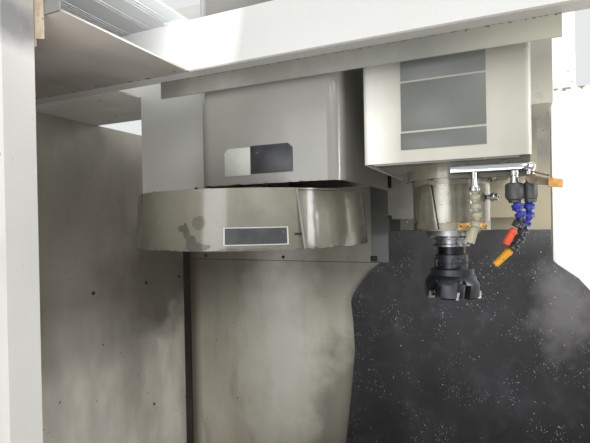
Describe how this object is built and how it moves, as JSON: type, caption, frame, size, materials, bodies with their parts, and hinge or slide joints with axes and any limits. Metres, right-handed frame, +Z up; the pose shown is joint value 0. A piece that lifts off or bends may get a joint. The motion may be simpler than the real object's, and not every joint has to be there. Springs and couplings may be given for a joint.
{
  "type": "vertical machining centre",
  "caption": "Vertical machining centre with sheet enclosure, sliding doors, moving head and table, round tool changer, coolant hoses and control pendant.",
  "frame": {"origin": "centre of the machine's box at floor level", "axes": "+X to the operator's right, +Y from the doors to the back, +Z up"},
  "size_m": [1.916, 1.94, 2.364],
  "materials": {
    "cast_paint": "matt enamel on iron casting",
    "dark_steel": "blackened",
    "ground_steel": "ground",
    "pan_sheet": "worn enamel",
    "wall_enamel": "dirty satin enamel",
    "front_enamel": "satin enamel",
    "roof_sheet": "satin enamel, grey",
    "plate_grey": "satin enamel, grey",
    "seal_strip": "matt",
    "motor_black": "black enamel",
    "cream_enamel": "gloss cream enamel",
    "table_iron": "milled",
    "head_iron": "painted and oily",
    "ring_steel": "turned, dirty",
    "apron_rubber": "matt with chips",
    "chrome": "polished",
    "hose_plastic": "moulded",
    "nozzle_plastic": "moulded",
    "tool_steel": "black oxide, worn",
    "tool_black": "black oxide",
    "carbide": "coated",
    "cast_aluminium": "cast",
    "window_pane": "clear",
    "pendant_case": "textured",
    "stop_red": "gloss",
    "start_green": "gloss",
    "hold_amber": "gloss",
    "black_plastic": "matt"
  },
  "bodies": {
    "frame": {"base_casting": "cast_paint", "levelling_feet": "dark_steel", "column": "cast_paint", "guide_rails": "ground_steel", "chip_pan": "pan_sheet", "side_walls": "wall_enamel", "back_wall": "wall_enamel", "front_panels": "front_enamel", "front_apron": "front_enamel", "roof_panels": "roof_sheet", "rear_shelf": "roof_sheet", "header_beam": "front_enamel", "splash_plate": "plate_grey", "corner_strips": "seal_strip", "door_track": "front_enamel", "feed_motors": "motor_black", "z_motor_mount": "cast_paint", "changer_bracket": "cast_paint", "changer_housing": "cream_enamel", "electrical_cabinet": "front_enamel", "drive_rack": "motor_black"},
    "z_feed_screw": {"z_screw": "ground_steel"},
    "y_feed_screw": {"y_screw": "ground_steel"},
    "x_feed_screw": {"x_screw": "ground_steel"},
    "saddle": {"saddle": "cast_paint", "x_motor": "motor_black"},
    "table": {"table": "table_iron", "x_rails": "ground_steel"},
    "head": {"head_casting": "head_iron", "head_cover": "cream_enamel", "head_duct": "cream_enamel", "spindle_cartridge": "head_iron", "coolant_ring": "ring_steel", "spindle_motor": "motor_black", "apron": "apron_rubber", "coolant_manifold": "chrome", "coolant_valves": "dark_steel", "coolant_hoses": "hose_plastic", "hose_nozzles": "nozzle_plastic"},
    "valve_lever": {"valve_lever": "nozzle_plastic"},
    "spindle": {"spindle_shaft": "ground_steel", "tool_holder": "tool_steel", "face_mill": "tool_black", "mill_inserts": "carbide"},
    "changer": {"changer_carriage": "cast_paint", "carousel_skirt": "cream_enamel"},
    "carousel": {"carousel_disc": "cast_aluminium"},
    "shutter": {"carousel_shutter": "cream_enamel"},
    "left_door": {"left_door": "front_enamel", "left_window": "window_pane"},
    "right_door": {"right_door": "front_enamel", "right_window": "window_pane"},
    "pendant": {"pendant_arm": "dark_steel", "pendant_box": "pendant_case"},
    "emergency_stop": {"emergency_stop": "stop_red"},
    "cycle_start": {"cycle_start": "start_green"},
    "feed_hold": {"feed_hold": "hold_amber"},
    "jog_handwheel": {"jog_handwheel": "black_plastic"},
    "cabinet_door": {"cabinet_door": "front_enamel"},
    "disconnect_handle": {"disconnect_handle": "black_plastic"}
  },
  "joints": [
    {"name": "saddle_slide", "type": "slide", "parent": "frame", "child": "saddle", "axis": [0, 1, 0], "range_m": [-0.203, 0.203]},
    {"name": "table_slide", "type": "slide", "parent": "saddle", "child": "table", "axis": [1, 0, 0], "range_m": [-0.254, 0.254]},
    {"name": "head_slide", "type": "slide", "parent": "frame", "child": "head", "axis": [0, 0, 1], "range_m": [-0.508, 0]},
    {"name": "spindle_turn", "type": "hinge", "parent": "head", "child": "spindle", "pos_m": [0, -0.28, 1.49], "axis": [0, 0, 1], "continuous": true},
    {"name": "valve_turn", "type": "hinge", "parent": "head", "child": "valve_lever", "pos_m": [0.122, -0.43, 1.564], "axis": [0, 1, 0], "range_deg": [0, 90]},
    {"name": "changer_slide", "type": "slide", "parent": "frame", "child": "changer", "axis": [1, 0, 0], "range_m": [0, 0.211]},
    {"name": "carousel_turn", "type": "hinge", "parent": "changer", "child": "carousel", "pos_m": [-0.405, -0.28, 1.49], "axis": [0, 0, 1], "continuous": true},
    {"name": "shutter_turn", "type": "hinge", "parent": "changer", "child": "shutter", "pos_m": [-0.405, -0.28, 1.49], "axis": [0, 0, 1], "range_deg": [-136, 0]},
    {"name": "left_door_slide", "type": "slide", "parent": "frame", "child": "left_door", "axis": [1, 0, 0], "range_m": [0, 0.462]},
    {"name": "right_door_slide", "type": "slide", "parent": "frame", "child": "right_door", "axis": [-1, 0, 0], "range_m": [0, 0.462]},
    {"name": "pendant_swing", "type": "hinge", "parent": "frame", "child": "pendant", "pos_m": [0.88, -0.865, 1.88], "axis": [0, 0, 1], "range_deg": [0, 90]},
    {"name": "emergency_stop_press", "type": "slide", "parent": "pendant", "child": "emergency_stop", "axis": [0, 1, 0], "range_m": [0, 0.006]},
    {"name": "cycle_start_press", "type": "slide", "parent": "pendant", "child": "cycle_start", "axis": [0, 1, 0], "range_m": [0, 0.004], "stiffness_N_per_m": 1500},
    {"name": "feed_hold_press", "type": "slide", "parent": "pendant", "child": "feed_hold", "axis": [0, 1, 0], "range_m": [0, 0.004], "stiffness_N_per_m": 1500},
    {"name": "jog_wheel_turn", "type": "hinge", "parent": "pendant", "child": "jog_handwheel", "pos_m": [0.865, -0.92, 1.33], "axis": [0, 1, 0], "continuous": true},
    {"name": "cabinet_door_swing", "type": "hinge", "parent": "frame", "child": "cabinet_door", "pos_m": [-0.457, 0.9635, 1.18], "axis": [0, 0, 1], "range_deg": [0, 120]},
    {"name": "disconnect_turn", "type": "hinge", "parent": "frame", "child": "disconnect_handle", "pos_m": [0.45, 0.825, 1.68], "axis": [1, 0, 0], "range_deg": [0, 90]},
    {"name": "z_screw_turn", "type": "hinge", "parent": "frame", "child": "z_feed_screw", "pos_m": [0, 0.234, 1.5], "axis": [0, 0, 1], "continuous": true},
    {"name": "y_screw_turn", "type": "hinge", "parent": "frame", "child": "y_feed_screw", "pos_m": [0, -0.28, 0.52], "axis": [0, 1, 0], "continuous": true},
    {"name": "x_screw_turn", "type": "hinge", "parent": "saddle", "child": "x_feed_screw", "pos_m": [0, -0.28, 0.702], "axis": [1, 0, 0], "continuous": true}
  ],
  "couplings": [
    {"joint": "shutter_turn", "follows": "changer_slide", "rad_per_m": -11.167},
    {"joint": "z_screw_turn", "follows": "head_slide", "rad_per_m": 628.32},
    {"joint": "y_screw_turn", "follows": "saddle_slide", "rad_per_m": 628.32},
    {"joint": "x_screw_turn", "follows": "table_slide", "rad_per_m": 628.32}
  ]
}
